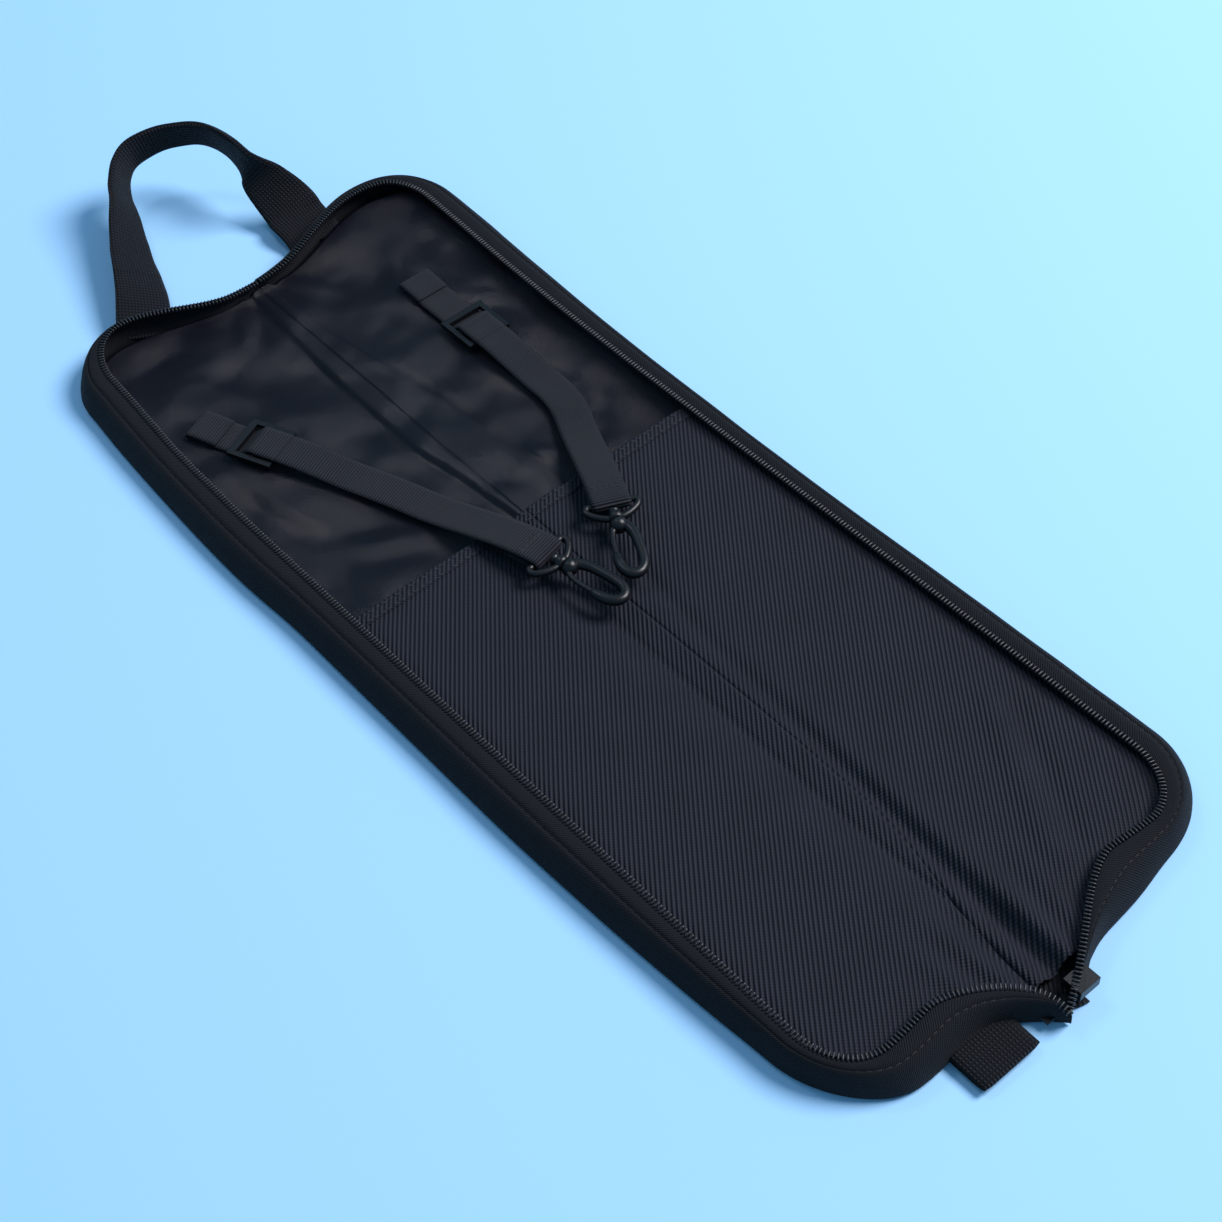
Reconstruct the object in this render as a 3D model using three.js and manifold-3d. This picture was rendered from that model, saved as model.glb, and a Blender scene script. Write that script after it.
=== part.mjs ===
// Drum stick bag, lying open like a book. Millimetres, +Z up, +Y towards the handle.
// The origin is on the underside of the spine, at the middle of the bag.
import * as THREE from "three";
import { mergeVertices } from "three/addons/utils/BufferGeometryUtils.js";
import Module from "manifold-3d";

const wasm = await Module();
wasm.setup();

// Driving dimensions of the open bag
const HALF_LENGTH = 230;      // centre to either end of the body
const REACH = 95;             // spine centre to the outer edge of a half
const CORNER_RADIUS = 35;
const NOTCH_DEPTH = 14;       // the handle end dips this far at the spine
const HALF_START = 15.2;      // a half's own pieces begin here
const SPINE_HALF_WIDTH = 11.8;

// Heights of the layers, bottom and top
const COVER = [0, 0.9];
const FOAM = [1.2, 2.6];
const LINING = [2.9, 3.3];
const POCKET = [3.6, 8.0];
const PANEL_UNDERSIDE = 7.6;
const HEM = [8.3, 8.9];
const TAPE = [10.5, 10.9];
const COIL = [10.2, 11.8];
const POCKET_MOUTH_Y = 30;
const HEM_WIDTH = 5;

// The zip's rim leans in over the tray, and runs out into a lip at the bottom end
const RIM_INSET = 14;
const LIP_DROP = 19;
const LIP_REACH = 44;
const LIP_TIP = [-4, -HALF_LENGTH - 17];

// Webbing
const STRAP_WIDTH = 15;
const STRAP_THICKNESS = 1;
const HANDLE_WIDTH = 25;
const HANDLE_THICKNESS = 1.6;
const STRAP_Z = 5.0;          // middle of the webbing over the tray
const HOOK_Z = 13.8;          // middle of the snap hook
const STRAP_LOW = 6.2;         // middle of a strap where it lies lowest

const BLACK_CLOTH = { color: 0x17181c, roughness: 0.9, metalness: 0 };
const OXFORD = { color: 0x22242c, roughness: 0.85, metalness: 0 };
const NYLON = { color: 0x24262f, roughness: 0.4, metalness: 0 };
const WEBBING = { color: 0x121317, roughness: 0.85, metalness: 0 };
const PLASTIC = { color: 0x0d0d0f, roughness: 0.35, metalness: 0 };
const EVA_FOAM = { color: 0x3a3b40, roughness: 1, metalness: 0 };

const bag = new THREE.Group();

// ---------- geometry helpers ----------

function signedVolume(geometry) {
  const at = geometry.attributes.position;
  const index = geometry.index;
  const [a, b, c] = [new THREE.Vector3(), new THREE.Vector3(), new THREE.Vector3()];
  let volume = 0;
  for (let i = 0; i < index.count; i += 3) {
    a.fromBufferAttribute(at, index.getX(i));
    b.fromBufferAttribute(at, index.getX(i + 1));
    c.fromBufferAttribute(at, index.getX(i + 2));
    volume += a.dot(b.cross(c));
  }
  return volume;
}

// One closed mesh with shared vertices and its faces pointing out
function closed(geometry) {
  const plain = new THREE.BufferGeometry();
  plain.setAttribute("position", geometry.attributes.position);
  if (geometry.index) plain.setIndex(geometry.index);
  const merged = mergeVertices(plain, 1e-4);
  if (signedVolume(merged) < 0) {
    const order = merged.index.array;
    for (let i = 0; i < order.length; i += 3) {
      [order[i], order[i + 1]] = [order[i + 1], order[i]];
    }
  }
  merged.computeVertexNormals();
  return merged;
}

// A box of nu by nv cells whose points (u, v, w), each 0 to 1, are placed by a function
function warpedBox(nu, nv, place) {
  const box = new THREE.BoxGeometry(1, 1, 1, nu, nv, 1);
  const at = box.attributes.position;
  for (let i = 0; i < at.count; i++) {
    const p = place(at.getX(i) + 0.5, at.getY(i) + 0.5, at.getZ(i) + 0.5);
    at.setXYZ(i, p[0], p[1], p[2]);
  }
  return closed(box);
}

function toSolid(geometry) {
  const merged = closed(geometry);
  return new wasm.Manifold(new wasm.Mesh({
    numProp: 3,
    vertProperties: new Float32Array(merged.attributes.position.array),
    triVerts: new Uint32Array(merged.index.array),
  }));
}

function toGeometry(solid) {
  const mesh = solid.getMesh();
  const geometry = new THREE.BufferGeometry();
  geometry.setAttribute("position", new THREE.BufferAttribute(mesh.vertProperties, 3));
  geometry.setIndex(new THREE.BufferAttribute(mesh.triVerts, 1));
  geometry.computeVertexNormals();
  return geometry;
}

function joined(...geometries) {
  return toGeometry(geometries.map(toSolid).reduce((sum, next) => sum.add(next)));
}

function boxBetween(low, high) {
  const box = new THREE.BoxGeometry(high[0] - low[0], high[1] - low[1], high[2] - low[2]);
  return box.translate((low[0] + high[0]) / 2, (low[1] + high[1]) / 2, (low[2] + high[2]) / 2);
}

// A round rod through the given points
function rod(points, radius, steps, sides = 8) {
  const section = new THREE.Shape().absarc(0, 0, radius, 0, 2 * Math.PI);
  const path = new THREE.CatmullRomCurve3(points.map((p) => new THREE.Vector3(...p)));
  return new THREE.ExtrudeGeometry(section, { steps, extrudePath: path, curveSegments: sides });
}

function smooth(t) {
  const k = Math.min(Math.max(t, 0), 1);
  return k * k * (3 - 2 * k);
}

function addPart(name, geometry, finish, parent = bag) {
  const mesh = new THREE.Mesh(geometry, new THREE.MeshStandardMaterial(finish));
  mesh.name = name;
  parent.add(mesh);
  return mesh;
}

// ---------- the halves' outline ----------

// Right half's edge, from the spine at the bottom end round to the spine at the top, as
// evenly spread points on three straight stretches and two corner arcs, moved in by inset
function outlinePoint(t, inset) {
  const r = CORNER_RADIUS - inset;
  const [right, low, high] = [REACH - inset, -HALF_LENGTH + inset, HALF_LENGTH - inset];
  const [cornerX, cornerLow, cornerHigh] = [right - r, low + r, high - r];
  const stretches = [0.12, 0.24, 0.76, 0.88];
  if (t <= stretches[0]) {
    return [HALF_START + (cornerX - HALF_START) * (t / stretches[0]), low];
  }
  if (t <= stretches[1]) {
    const a = -Math.PI / 2 + (Math.PI / 2) * ((t - stretches[0]) / (stretches[1] - stretches[0]));
    return [cornerX + r * Math.cos(a), cornerLow + r * Math.sin(a)];
  }
  if (t <= stretches[2]) {
    const k = (t - stretches[1]) / (stretches[2] - stretches[1]);
    return [right, cornerLow + (cornerHigh - cornerLow) * k];
  }
  if (t <= stretches[3]) {
    const a = (Math.PI / 2) * ((t - stretches[2]) / (stretches[3] - stretches[2]));
    return [cornerX + r * Math.cos(a), cornerHigh + r * Math.sin(a)];
  }
  const k = (t - stretches[3]) / (1 - stretches[3]);
  return [cornerX + (HALF_START - cornerX) * k, high - NOTCH_DEPTH * smooth(k)];
}

// The edge with the bottom lip: the further in, the more the lip pulls it outwards
function rimPoint(t, inset) {
  const [x, y] = outlinePoint(t, inset);
  const nearSpine = Math.max(0, (LIP_REACH - x) / LIP_REACH);
  const drop = y < 0 ? LIP_DROP * nearSpine ** 1.5 * Math.min(inset / RIM_INSET, 1.1) : 0;
  return [x, y - drop];
}

const OUTLINE_STEPS = 50;

// A flat layer of one half, between two heights
function layer(side, inset, [bottom, top], clip = HALF_LENGTH) {
  const outline = new THREE.Shape();
  for (let i = 0; i <= OUTLINE_STEPS; i++) {
    const [x, y] = outlinePoint(i / OUTLINE_STEPS, inset);
    const clipped = Math.min(y, clip);
    if (i === 0) outline.moveTo(side * x, clipped);
    else outline.lineTo(side * x, clipped);
  }
  const sheet = new THREE.ExtrudeGeometry(outline, { depth: top - bottom, bevelEnabled: false });
  return closed(sheet.translate(0, 0, bottom));
}

// A strip that runs round the half's edge: section(v, w) gives its inset and height
function edgeStrip(side, across, section) {
  return warpedBox(OUTLINE_STEPS, across, (t, v, w) => {
    const [inset, z] = section(v, w);
    const [x, y] = rimPoint(t, inset);
    return [side * x, y, z];
  });
}

const GUSSET_ARC = { inset: 7.4, height: 9.4, base: 1.3, wall: 0.8 };

// The padded wall bulges out from the cover and rounds over at the top
function gussetSection(v, w) {
  const a = v * Math.PI / 2;
  const wall = GUSSET_ARC.wall * w;
  const width = GUSSET_ARC.inset - wall;
  const height = GUSSET_ARC.height - wall;
  return [GUSSET_ARC.inset - width * Math.cos(a) + 0.2, GUSSET_ARC.base + height * Math.sin(a)];
}

function stripSection([insetA, insetB], [low, high]) {
  return (v, w) => [insetA + (insetB - insetA) * v, low + (high - low) * w];
}

function makeHalf(name, side) {
  const half = (piece) => `${name}_${piece}`;
  addPart(half("cover"), layer(side, 0, COVER), BLACK_CLOTH);
  addPart(half("foam_pad"), layer(side, 4, FOAM), EVA_FOAM);
  addPart(half("lining"), layer(side, 4.6, LINING), NYLON);
  addPart(half("gusset"), edgeStrip(side, 5, gussetSection), BLACK_CLOTH);
  addPart(half("zip_tape"), edgeStrip(side, 1, stripSection([8, 13], TAPE)), BLACK_CLOTH);
  addPart(half("zip_coil"), edgeStrip(side, 1, stripSection([13.3, 15], COIL)), PLASTIC);
  const binding = stripSection([2.6, 4.2], [3.9, 5.4]);
  addPart(half("seam_binding"), edgeStrip(side, 1, binding), BLACK_CLOTH);
  addPart(half("pocket"), makePocket(side), OXFORD);
  const hemLow = [HALF_START, POCKET_MOUTH_Y - HEM_WIDTH, HEM[0]];
  const hemHigh = [REACH - 16.5, POCKET_MOUTH_Y, HEM[1]];
  const hem = boxBetween(hemLow, hemHigh);
  if (side < 0) hem.scale(-1, 1, 1);
  addPart(half("pocket_hem"), closed(hem), OXFORD);
}

// The slip pocket: a panel with its edges turned down to the lining, open at the top end
function makePocket(side) {
  const wall = 0.6;
  const shell = toSolid(layer(side, 7.2, POCKET, POCKET_MOUTH_Y));
  const hollow = outlinePocketHollow(side, wall);
  return toGeometry(shell.subtract(hollow));
}

function outlinePocketHollow(side, wall) {
  const reach = REACH - 7.2 - wall;
  const low = -HALF_LENGTH + 7.2 + wall;
  const radius = CORNER_RADIUS - 7.2 - wall;
  const shape = new THREE.Shape();
  shape.moveTo(side * (HALF_START + wall), low);
  shape.lineTo(side * (reach - radius), low);
  for (let i = 1; i <= 8; i++) {
    const a = -Math.PI / 2 + (Math.PI / 2) * (i / 8);
    shape.lineTo(side * (reach - radius + radius * Math.cos(a)), low + radius + radius * Math.sin(a));
  }
  shape.lineTo(side * reach, POCKET_MOUTH_Y + 5);
  shape.lineTo(side * (HALF_START + wall), POCKET_MOUTH_Y + 5);
  const depth = PANEL_UNDERSIDE - POCKET[0] + 2;
  const block = new THREE.ExtrudeGeometry(shape, { depth, bevelEnabled: false });
  return toSolid(block.translate(0, 0, POCKET[0] - 2));
}

// ---------- the spine and the bottom lip ----------

function spineLayer([bottom, top], low, high, halfWidth = SPINE_HALF_WIDTH) {
  return closed(boxBetween([-halfWidth, low, bottom], [halfWidth, high, top]));
}

function makeSpine() {
  const top = HALF_LENGTH - NOTCH_DEPTH;
  addPart("spine_cover", spineLayer(COVER, -HALF_LENGTH - 4.5, top), BLACK_CLOTH);
  addPart("spine_lining", spineLayer([1.2, 1.6], -HALF_LENGTH + 4, top - 3), NYLON);
  addPart("spine_pocket_strip", spineLayer([1.9, 2.3], -HALF_LENGTH + 6, POCKET_MOUTH_Y), OXFORD);
  const wallLow = [-SPINE_HALF_WIDTH + 0.3, -HALF_LENGTH - 5.2, 1.2];
  const wallHigh = [SPINE_HALF_WIDTH - 0.3, -HALF_LENGTH - 4.4, 9.6];
  addPart("bottom_end_wall", closed(boxBetween(wallLow, wallHigh)), BLACK_CLOTH);
  addPart("bottom_lip_tape", makeLip(9.4), BLACK_CLOTH);
  addPart("bottom_lip_coil", makeLipCoil(), PLASTIC);
}

// The two tapes meet in a pointed tongue beyond the end wall
function makeLip(width) {
  const tongue = new THREE.Shape();
  tongue.moveTo(-width, -HALF_LENGTH - 5.6);
  tongue.quadraticCurveTo(-width + 1, LIP_TIP[1] + 5, LIP_TIP[0], LIP_TIP[1]);
  tongue.quadraticCurveTo(width - 4, LIP_TIP[1] + 6, width, -HALF_LENGTH - 5.6);
  tongue.closePath();
  const depth = TAPE[1] - TAPE[0];
  const sheet = new THREE.ExtrudeGeometry(tongue, { depth, bevelEnabled: false, curveSegments: 8 });
  return closed(sheet.translate(0, 0, TAPE[0]));
}

function makeLipCoil() {
  const z = (COIL[0] + COIL[1]) / 2;
  const y = -HALF_LENGTH;
  const points = [
    [-11, y - 5.5, z], [-9.6, y - 12.5, z], [-4, y - 18.5, z], [5, y - 12.8, z], [11, y - 5.5, z],
  ];
  return closed(rod(points, 0.8, 20, 3));
}

// ---------- the handle ----------

// Middle line of the handle's webbing and how far it leans on its edge, in degrees
const HANDLE_LINE = [
  [-49.5, 212, 4.4, 0], [-46.6, 221.5, 5, 0], [-39.5, 235.5, 7.4, 10], [-35, 247, 9.2, 10],
  [-30.9, 257, 13, 40], [-23.1, 269.9, 17, 72], [-17, 279, 21, 90], [-9, 288, 24.5, 104],
  [1.1, 293.5, 27, 110], [13, 292.5, 28, 110], [25, 286, 28, 102], [32.7, 275.1, 27, 86],
  [36.2, 264, 23.5, 64], [37.2, 252, 12.6, 24], [38, 246, 9.4, 8], [38.8, 236, 7.8, 4],
  [38.8, 223.7, 6, 0], [36, 212, 4.4, 0],
];

function handleCurve() {
  return new THREE.CatmullRomCurve3(HANDLE_LINE.map((p) => new THREE.Vector3(p[0], p[1], p[2])));
}

// A band of webbing along part of the handle line
function handleBand(from, to, steps) {
  const curve = handleCurve();
  const up = new THREE.Vector3(0, 0, 1);
  const last = HANDLE_LINE.length - 1;
  return warpedBox(steps, 3, (u, v, w) => {
    const t = from + (to - from) * u;
    const middle = curve.getPoint(t);
    const along = curve.getTangent(t);
    const i = Math.min(Math.floor(t * last), last - 1);
    const k = t * last - i;
    const lean = THREE.MathUtils.degToRad(HANDLE_LINE[i][3] * (1 - k) + HANDLE_LINE[i + 1][3] * k);
    const outwards = new THREE.Vector3().crossVectors(up, along).normalize();
    const rise = new THREE.Vector3().crossVectors(along, outwards).normalize();
    const across = outwards.clone().multiplyScalar(Math.cos(lean)).addScaledVector(rise, Math.sin(lean));
    const face = new THREE.Vector3().crossVectors(along, across).normalize();
    middle.addScaledVector(across, HANDLE_WIDTH * (v - 0.5));
    middle.addScaledVector(face, HANDLE_THICKNESS * (w - 0.5));
    return middle.toArray();
  });
}

function makeHandle() {
  const step = 1 / (HANDLE_LINE.length - 1);
  const clearance = 0.1 * step;
  addPart("left_handle_leg", handleBand(1.55 * step, 3.15 * step, 10), WEBBING);
  addPart("handle_loop", handleBand(3.15 * step + clearance, 13.85 * step - clearance, 36), WEBBING);
  addPart("right_handle_leg", handleBand(13.85 * step, 15.6 * step, 10), WEBBING);
}

// ---------- straps, tri-glides and snap hooks ----------

// Where a strap's middle line is, seen from above in its own group: straight, then one bend
function bendLine(bend, bendStart, bendEnd) {
  return (along) => {
    const place = { x: Math.min(along, 0), y: 0, turn: 0 };
    for (let i = 0; i < along; i++) {
      const step = Math.min(1, along - i);
      place.turn = bend * smooth((i + step / 2 - bendStart) / (bendEnd - bendStart));
      place.x += step * Math.cos(place.turn);
      place.y += step * Math.sin(place.turn);
    }
    return place;
  };
}

const straight = bendLine(0, 0, 1);

// A flat ribbon along such a line: stations are [along, height]
function ribbon(stations, width, thickness, line) {
  const n = stations.length - 1;
  return warpedBox(n, 2, (u, v, w) => {
    const i = Math.round(u * n);
    const [a, b] = [stations[Math.max(i - 1, 0)], stations[Math.min(i + 1, n)]];
    const length = Math.hypot(b[0] - a[0], b[1] - a[1]);
    const normal = [-(b[1] - a[1]) / length, (b[0] - a[0]) / length];
    const [along, height] = stations[i];
    const offset = thickness * (w - 0.5);
    const ahead = normal[0] * offset;
    const sideways = width * (v - 0.5);
    const { x, y, turn } = line(along);
    return [
      x + Math.cos(turn) * ahead - Math.sin(turn) * sideways,
      y + Math.sin(turn) * ahead + Math.cos(turn) * sideways,
      height + normal[1] * offset,
    ];
  });
}

const TRIGLIDE = { bar: 2.8, slot: 5.5, rail: 2.2, low: 6.1, high: 8.1 };
const TRIGLIDE_LENGTH = 3 * TRIGLIDE.bar + 2 * TRIGLIDE.slot;
const OVER = TRIGLIDE.high + 0.9;     // webbing on top of the tri-glide's bars
const anchorEnd = (start) => start + TRIGLIDE_LENGTH + 1;

function makeTriglide(start) {
  const { bar, slot, rail, low, high } = TRIGLIDE;
  const end = start + TRIGLIDE_LENGTH;
  const halfSlot = STRAP_WIDTH / 2 + 0.5;
  const plate = toSolid(boxBetween([start, -halfSlot - rail, low], [end, halfSlot + rail, high]));
  const slotAt = (from) => {
    return toSolid(boxBetween([from, -halfSlot, low - 1], [from + slot, halfSlot, high + 1]));
  };
  return toGeometry(plate.subtract(slotAt(start + bar)).subtract(slotAt(start + 2 * bar + slot)));
}

// Webbing from the sewn end, under the tri-glide's first bar and over the other two
function makeAnchorWebbing(start) {
  const slotStart = start + TRIGLIDE.bar + 0.2;
  const slotEnd = start + TRIGLIDE.bar + TRIGLIDE.slot - 0.2;
  const stations = [
    [-6, STRAP_Z], [6, STRAP_Z], [slotStart, STRAP_Z + 0.1],
    [slotEnd, OVER], [start + TRIGLIDE_LENGTH, OVER], [anchorEnd(start), OVER],
  ];
  return ribbon(stations, STRAP_WIDTH, STRAP_THICKNESS, straight);
}

// Strap from the tri-glide to the snap hook; its end wraps round the eye's bar
function makeStrap(start, length, line) {
  const from = anchorEnd(start) + 1.6;
  const wrap = 2.0;
  const stations = [];
  const steps = 22;
  for (let i = 0; i <= steps; i++) {
    const k = i / steps;
    const along = from + (length - from) * k;
    const sag = (OVER - STRAP_LOW) * smooth(k / 0.3);
    const rise = (HOOK_Z + wrap - STRAP_LOW) * smooth((k - 0.5) / 0.5);
    stations.push([along, OVER - sag + rise]);
  }
  for (let i = 1; i <= 6; i++) {
    const a = Math.PI / 2 - (Math.PI * i) / 6;
    stations.push([length + wrap * Math.cos(a), HOOK_Z + wrap * Math.sin(a)]);
  }
  stations.push([length - 5, HOOK_Z - wrap + 0.5], [length - 9, HOOK_Z - wrap - 0.1]);
  return ribbon(stations, STRAP_WIDTH, STRAP_THICKNESS, line);
}

const EYE = { halfWidth: 10, barRadius: 1.2, collarStart: 6, collarEnd: 9, bore: 1.7, collar: 2.7 };

// The eye: a bar across the strap, two arms and a collar that the hook turns in
function makeEye() {
  const { halfWidth, barRadius, collarStart, collarEnd, bore, collar } = EYE;
  const bar = rod([[0, -halfWidth, 0], [0, 0, 0], [0, halfWidth, 0]], barRadius, 2, 4);
  const arm = (s) => {
    const points = [[0, s * halfWidth, 0], [3.2, s * 9.4, 0], [6, s * 6, 0], [7.5, s * 2.1, 0]];
    return rod(points, barRadius, 6, 4);
  };
  const profile = [
    [bore, collarStart], [collar, collarStart], [collar, collarEnd], [bore, collarEnd], [bore, collarStart],
  ];
  const ring = new THREE.LatheGeometry(profile.map((p) => new THREE.Vector2(...p)), 16);
  ring.rotateZ(-Math.PI / 2);
  const solid = toSolid(bar).add(toSolid(arm(1))).add(toSolid(arm(-1))).add(toSolid(ring));
  const hole = new THREE.CylinderGeometry(bore, bore, 5, 16).rotateZ(-Math.PI / 2).translate(8, 0, 0);
  return toGeometry(solid.subtract(toSolid(hole)));
}

const HOOK = { neck: 9.5, tip: 38, halfWidth: 4.3, rod: 1.4 };

// The hook: a headed shank, a bowl that bends round and comes back as a nose
function makeHook() {
  const { neck, tip, halfWidth, rod: radius } = HOOK;
  const shankRadius = EYE.bore - 0.3;
  const profile = [
    [0, 4.1], [2.3, 4.1], [2.3, 5.6], [shankRadius, 5.6],
    [shankRadius, neck], [2.6, neck + 0.2], [2.6, neck + 2.4], [0, neck + 3.4],
  ];
  const shank = new THREE.LatheGeometry(profile.map((p) => new THREE.Vector2(...p)), 12);
  shank.rotateZ(-Math.PI / 2);
  const centre = tip - radius - halfWidth;
  const bend = [];
  for (let i = 0; i <= 6; i++) {
    const a = Math.PI / 2 - (Math.PI * i) / 6;
    bend.push([centre + halfWidth * Math.cos(a), halfWidth * Math.sin(a), 0]);
  }
  const back = [[neck + 1.6, 0.4, 0], [neck + 4.5, 2.9, 0], [neck + 8, halfWidth, 0]];
  const nose = [[centre - 5, -halfWidth, 0]];
  return joined(shank, rod([...back, ...bend, ...nose], radius, 30, 4));
}

const GATE = { start: 13.4, end: 26.6 };

// The springy tongue that closes the hook's mouth
function makeGate() {
  return closed(rod([[GATE.start, -2.4, 0], [18, -3.7, 0], [GATE.end, -4.2, 0]], 0.8, 8, 4));
}

function makeStrapAssembly(name, { anchor, heading, start, length, bend, bendStart, bendEnd }) {
  const line = bendLine(bend, bendStart, bendEnd);
  const end = line(length);
  const frame = new THREE.Group();
  frame.position.set(anchor[0], anchor[1], 0);
  frame.rotation.z = heading;
  bag.add(frame);
  const part = (piece) => `${name}_${piece}`;
  addPart(part("strap_patch"), closed(boxBetween([-8, -9, 3.6], [5, 9, 4.1])), WEBBING, frame);
  addPart(part("anchor_webbing"), makeAnchorWebbing(start), WEBBING, frame);
  addPart(part("triglide"), makeTriglide(start), PLASTIC, frame);
  addPart(part("strap_webbing"), makeStrap(start, length, line), WEBBING, frame);
  const hardware = new THREE.Group();
  hardware.position.set(end.x, end.y, HOOK_Z);
  hardware.rotation.z = end.turn;
  frame.add(hardware);
  addPart(part("swivel_eye"), makeEye(), PLASTIC, hardware);
  addPart(part("snap_hook"), makeHook(), PLASTIC, hardware);
  addPart(part("hook_gate"), makeGate(), PLASTIC, hardware);
}

// The left strap lies nearly straight; the right one bends near its middle
const turn = THREE.MathUtils.degToRad;
const LEFT_STRAP = {
  anchor: [-61.5, 149.1], heading: turn(-67), start: 13, length: 154,
  bend: turn(-10.8), bendStart: 50, bendEnd: 140,
};
const RIGHT_STRAP = {
  anchor: [51.2, 158.4], heading: turn(-90), start: 24, length: 158,
  bend: turn(-25.5), bendStart: 76, bendEnd: 106,
};

// ---------- zip slider and bottom tab ----------

function makeSlider() {
  const y = -HALF_LENGTH;
  addPart("zip_slider", closed(boxBetween([-4.5, y - 18, 5], [4.5, y - 10.4, 9.2])), PLASTIC);
  const bail = boxBetween([-0.8, y - 15, 2.6], [0.8, y - 13.4, 4.6]);
  const tab = boxBetween([-17, y - 16.2, 2.2], [0.8, y - 12.2, 3.4]);
  addPart("slider_pull", joined(bail, tab), PLASTIC);
}

function makeBottomTab() {
  const y = -HALF_LENGTH;
  const low = [-48.4, y - 20, 0.9];
  const high = [-23.4, y - 2.2, 3.5];
  addPart("bottom_tab", closed(boxBetween(low, high)), WEBBING);
}

makeSpine();
makeHalf("left", -1);
makeHalf("right", 1);
makeHandle();
makeStrapAssembly("left", LEFT_STRAP);
makeStrapAssembly("right", RIGHT_STRAP);
makeSlider();
makeBottomTab();

export default bag;
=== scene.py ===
"""Drum stick bag, lying open like a book: cloth, zip, webbing and snap hooks around the CAD frame."""
import math
from collections import namedtuple

import bmesh
import bpy
import numpy as np
from mathutils import Matrix, Vector, noise


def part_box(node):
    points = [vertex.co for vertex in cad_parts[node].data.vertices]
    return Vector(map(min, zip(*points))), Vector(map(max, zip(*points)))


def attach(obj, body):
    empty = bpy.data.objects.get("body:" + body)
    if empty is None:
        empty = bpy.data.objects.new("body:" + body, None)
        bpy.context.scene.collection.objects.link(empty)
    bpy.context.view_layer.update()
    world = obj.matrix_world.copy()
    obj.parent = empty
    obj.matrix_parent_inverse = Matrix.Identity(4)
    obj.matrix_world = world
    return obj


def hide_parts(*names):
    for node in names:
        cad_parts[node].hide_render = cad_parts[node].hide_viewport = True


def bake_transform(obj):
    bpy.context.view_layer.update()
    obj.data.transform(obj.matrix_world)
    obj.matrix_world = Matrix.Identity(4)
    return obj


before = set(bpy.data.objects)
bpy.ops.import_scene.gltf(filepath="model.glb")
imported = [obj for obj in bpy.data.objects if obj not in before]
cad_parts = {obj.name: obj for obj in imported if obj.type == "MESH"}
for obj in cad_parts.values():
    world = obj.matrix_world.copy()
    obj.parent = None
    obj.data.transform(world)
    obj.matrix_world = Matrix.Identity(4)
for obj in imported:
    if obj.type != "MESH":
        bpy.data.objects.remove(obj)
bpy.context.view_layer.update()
MM = 0.001

# ---------- driving dimensions, in millimetres ----------

HALF_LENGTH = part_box("right_cover")[1].y / MM
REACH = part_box("right_cover")[1].x / MM
COVER_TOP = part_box("right_cover")[1].z / MM
LINING_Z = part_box("right_lining")[1].z / MM
PANEL_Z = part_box("right_pocket")[1].z / MM
MOUTH_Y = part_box("right_pocket")[1].y / MM
CORNER = 34.0         # radius of a half's two corners
NOTCH = 14.0          # how far the handle end dips at the spine
RIM_INSET = 14.0      # the zip rim lies this far in from the body's edge
RIM_HEIGHT = 11.0
TOP_RIM_RISE = 2.0    # how much higher the rim stands at the handle end
LIP_DROP = 34.0       # how far the bottom lip droops beyond the rim's plan
LIP_REACH = 44.0      # the lip begins this far from the spine
LIP_TIP_X = -12.0     # the lip's tip leans to the left
FOLD_START = 17.5     # the bound seam ends this far, and 2 mm more, along the edge short of the spine at the handle end

STRAIGHT = REACH - CORNER
ARC = CORNER * math.pi / 2
SIDE = 2 * (HALF_LENGTH - CORNER)
EDGE = 2 * STRAIGHT + 2 * ARC + SIDE    # from spine to spine round one half


def smooth(t):
    """Eases from 0 to 1 as t goes from 0 to 1."""
    k = np.clip(t, 0.0, 1.0)
    return k * k * (3 - 2 * k)


def bump_at(distance, width):
    """A soft bump, 1 at distance 0 and gone by twice the width."""
    return np.exp(-(distance / width) ** 2)


def wander(x, y, scale, seed=0.0):
    """Soft noise between about -1 and 1, the same on every run."""
    return noise.noise(Vector((x / scale, y / scale, seed)))


wander_all = np.vectorize(wander, otypes=[float])
UP = [0.0, 0.0, 1.0]


def unit(v):
    """The same directions, each at length 1."""
    return v / (np.linalg.norm(v, axis=-1, keepdims=True) + 1e-12)


def path_lengths(points):
    """The distance along a polyline of each of its points."""
    return np.r_[0, np.cumsum(np.linalg.norm(np.diff(points, axis=0), axis=1))]


# ---------- mesh building ----------


def add_object(name, data):
    """A new object in the scene."""
    made = bpy.data.objects.new(name, data)
    bpy.context.scene.collection.objects.link(made)
    return made


def make_piece(name, verts, faces, uvs=None, material=None):
    """A smooth-shaded mesh object from points in millimetres, with its faces turned outwards."""
    mesh = bpy.data.meshes.new(name)
    mesh.from_pydata((np.asarray(verts, float) * MM).tolist(), [], faces)
    if uvs is not None:
        layer = mesh.uv_layers.new(name="cloth")
        corner_vertex = np.zeros(len(mesh.loops), int)
        mesh.loops.foreach_get("vertex_index", corner_vertex)
        layer.data.foreach_set("uv", np.asarray(uvs, float)[corner_vertex].ravel())
    work = bmesh.new()
    work.from_mesh(mesh)
    bmesh.ops.recalc_face_normals(work, faces=work.faces)
    work.to_mesh(mesh)
    work.free()
    mesh.polygons.foreach_set("use_smooth", [True] * len(mesh.polygons))
    if material:
        mesh.materials.append(material)
    return add_object(name, mesh)


def grid_quads(nu, nv, offset=0, wrap=False):
    """Quads between nu rows of nv points; wrap joins each row's last point to its first."""
    across = nv if wrap else nv - 1
    quads = []
    for i in range(nu - 1):
        for j in range(across):
            a, b = offset + i * nv + j, offset + i * nv + (j + 1) % nv
            quads.append((a, b, b + nv, a + nv))
    return quads


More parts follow.
